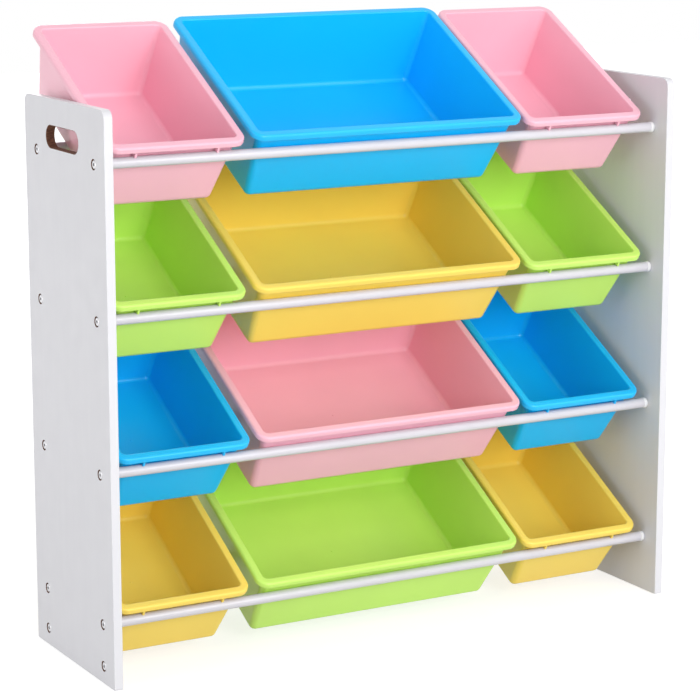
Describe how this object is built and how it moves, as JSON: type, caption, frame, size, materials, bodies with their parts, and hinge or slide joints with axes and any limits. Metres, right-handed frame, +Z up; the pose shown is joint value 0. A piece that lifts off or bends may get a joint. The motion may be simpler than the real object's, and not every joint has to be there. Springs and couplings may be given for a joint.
{
  "type": "toy storage organizer",
  "caption": "Open storage frame of two side panels joined by rods, with tiers of tilted lift-out plastic bins.",
  "frame": {"origin": "on the floor, in the middle of the width and of the overall depth, bins included", "axes": "+X to the right seen from the front, +Y from the front to the back, +Z up"},
  "size_m": [0.86, 0.2972, 0.8324],
  "materials": {
    "panel_white": "white laminated board, satin, raw brown fibreboard in the hand slots",
    "rod_white": "white powder coat",
    "plug_white": "smooth moulded",
    "bolt_steel": "bright zinc plated",
    "sleeve_brass": "plain turned",
    "bin_pink": "semi-gloss moulded",
    "bin_blue": "semi-gloss moulded",
    "bin_green": "semi-gloss moulded",
    "bin_yellow": "semi-gloss moulded"
  },
  "bodies": {
    "frame": {"side_panel_left": "panel_white", "side_panel_right": "panel_white", "front_rod_tier_1": "rod_white", "back_rod_tier_1": "rod_white", "front_rod_tier_2": "rod_white", "back_rod_tier_2": "rod_white", "front_rod_tier_3": "rod_white", "back_rod_tier_3": "rod_white", "front_rod_tier_4": "rod_white", "back_rod_tier_4": "rod_white", "rod_plugs_left": "plug_white", "rod_plugs_right": "plug_white", "plug_sleeves_left": "sleeve_brass", "plug_sleeves_right": "sleeve_brass", "rod_bolts_left": "bolt_steel", "rod_bolts_right": "bolt_steel", "base_inserts_left": "sleeve_brass", "base_inserts_right": "sleeve_brass", "base_bolts_left": "bolt_steel", "base_bolts_right": "bolt_steel"},
    "bin_left_tier_1": {"bin_left_tier_1": "bin_yellow"},
    "bin_middle_tier_1": {"bin_middle_tier_1": "bin_green"},
    "bin_right_tier_1": {"bin_right_tier_1": "bin_yellow"},
    "bin_left_tier_2": {"bin_left_tier_2": "bin_blue"},
    "bin_middle_tier_2": {"bin_middle_tier_2": "bin_pink"},
    "bin_right_tier_2": {"bin_right_tier_2": "bin_blue"},
    "bin_left_tier_3": {"bin_left_tier_3": "bin_green"},
    "bin_middle_tier_3": {"bin_middle_tier_3": "bin_yellow"},
    "bin_right_tier_3": {"bin_right_tier_3": "bin_green"},
    "bin_left_tier_4": {"bin_left_tier_4": "bin_pink"},
    "bin_middle_tier_4": {"bin_middle_tier_4": "bin_blue"},
    "bin_right_tier_4": {"bin_right_tier_4": "bin_pink"}
  },
  "joints": [
    {"name": "lift_bin_left_tier_1", "type": "slide", "parent": "frame", "child": "bin_left_tier_1", "axis": [0, -0.4848, 0.8746], "range_m": [0, 0.042]},
    {"name": "lift_bin_middle_tier_1", "type": "slide", "parent": "frame", "child": "bin_middle_tier_1", "axis": [0, -0.4848, 0.8746], "range_m": [0, 0.042]},
    {"name": "lift_bin_right_tier_1", "type": "slide", "parent": "frame", "child": "bin_right_tier_1", "axis": [0, -0.4848, 0.8746], "range_m": [0, 0.042]},
    {"name": "lift_bin_left_tier_2", "type": "slide", "parent": "frame", "child": "bin_left_tier_2", "axis": [0, -0.4848, 0.8746], "range_m": [0, 0.042]},
    {"name": "lift_bin_middle_tier_2", "type": "slide", "parent": "frame", "child": "bin_middle_tier_2", "axis": [0, -0.4848, 0.8746], "range_m": [0, 0.042]},
    {"name": "lift_bin_right_tier_2", "type": "slide", "parent": "frame", "child": "bin_right_tier_2", "axis": [0, -0.4848, 0.8746], "range_m": [0, 0.042]},
    {"name": "lift_bin_left_tier_3", "type": "slide", "parent": "frame", "child": "bin_left_tier_3", "axis": [0, -0.4848, 0.8746], "range_m": [0, 0.042]},
    {"name": "lift_bin_middle_tier_3", "type": "slide", "parent": "frame", "child": "bin_middle_tier_3", "axis": [0, -0.4848, 0.8746], "range_m": [0, 0.042]},
    {"name": "lift_bin_right_tier_3", "type": "slide", "parent": "frame", "child": "bin_right_tier_3", "axis": [0, -0.4848, 0.8746], "range_m": [0, 0.042]},
    {"name": "lift_bin_left_tier_4", "type": "slide", "parent": "frame", "child": "bin_left_tier_4", "axis": [0, -0.4848, 0.8746], "range_m": [0, 0.15]},
    {"name": "lift_bin_middle_tier_4", "type": "slide", "parent": "frame", "child": "bin_middle_tier_4", "axis": [0, -0.4848, 0.8746], "range_m": [0, 0.15]},
    {"name": "lift_bin_right_tier_4", "type": "slide", "parent": "frame", "child": "bin_right_tier_4", "axis": [0, -0.4848, 0.8746], "range_m": [0, 0.15]}
  ]
}
